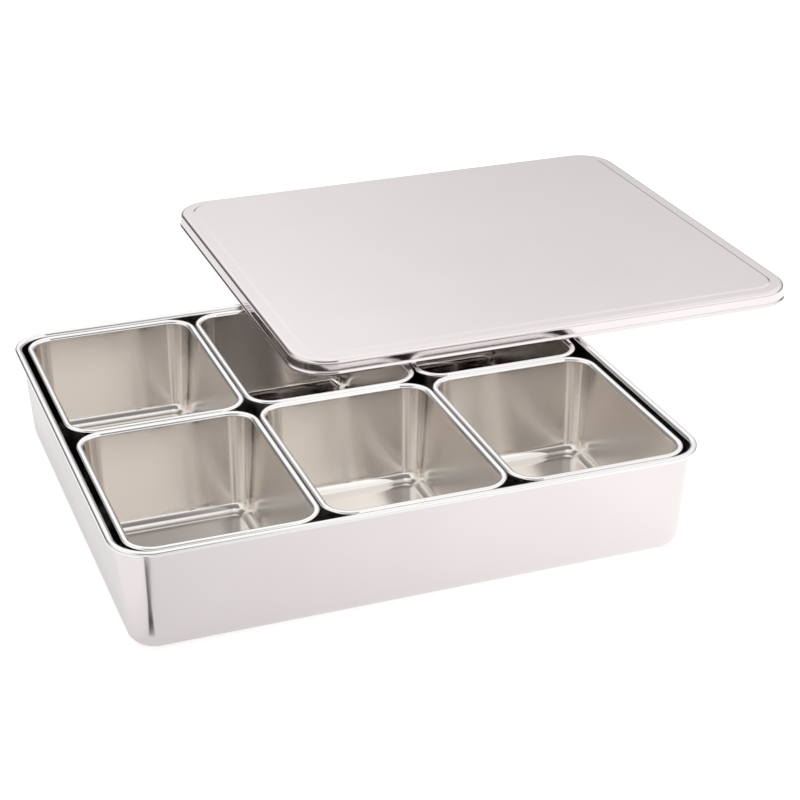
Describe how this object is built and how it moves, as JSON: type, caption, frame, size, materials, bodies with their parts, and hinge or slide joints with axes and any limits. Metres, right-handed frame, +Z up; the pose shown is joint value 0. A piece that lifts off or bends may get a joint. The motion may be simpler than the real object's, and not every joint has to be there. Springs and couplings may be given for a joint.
{
  "type": "spice organizer box",
  "caption": "Rectangular steel tray with a rolled rim, loose rectangular pans standing in it, and a shallow lid laid over its back right corner.",
  "frame": {"origin": "centre of the tray's flat underside, on the surface that it stands on", "axes": "+X to the right along the three columns of pans, +Y from the front row of pans to the back row, +Z up"},
  "size_m": [0.4381, 0.4171, 0.0667],
  "materials": {
    "tray_steel": "polished stainless steel, bright outside",
    "pan_steel": "satin stainless steel with a bright rim",
    "lid_steel": "satin stainless steel, pale"
  },
  "bodies": {
    "tray": {"tray": "tray_steel"},
    "pan_front_left": {"pan_front_left": "pan_steel"},
    "pan_front_middle": {"pan_front_middle": "pan_steel"},
    "pan_front_right": {"pan_front_right": "pan_steel"},
    "pan_back_left": {"pan_back_left": "pan_steel"},
    "pan_back_middle": {"pan_back_middle": "pan_steel"},
    "pan_back_right": {"pan_back_right": "pan_steel"},
    "lid": {"lid": "lid_steel"}
  },
  "joints": [
    {"name": "lid_lift", "type": "slide", "parent": "tray", "child": "lid", "axis": [0, 0, 1], "range_m": [0, 0.09]},
    {"name": "pan_front_left_lift", "type": "slide", "parent": "tray", "child": "pan_front_left", "axis": [0, 0, 1], "range_m": [0, 0.06]},
    {"name": "pan_front_middle_lift", "type": "slide", "parent": "tray", "child": "pan_front_middle", "axis": [0, 0, 1], "range_m": [0, 0.06]},
    {"name": "pan_front_right_lift", "type": "slide", "parent": "tray", "child": "pan_front_right", "axis": [0, 0, 1], "range_m": [0, 0.06]},
    {"name": "pan_back_left_lift", "type": "slide", "parent": "tray", "child": "pan_back_left", "axis": [0, 0, 1], "range_m": [0, 0.06]},
    {"name": "pan_back_middle_lift", "type": "slide", "parent": "tray", "child": "pan_back_middle", "axis": [0, 0, 1], "range_m": [0, 0.001]},
    {"name": "pan_back_right_lift", "type": "slide", "parent": "tray", "child": "pan_back_right", "axis": [0, 0, 1], "range_m": [0, 0.001]}
  ]
}
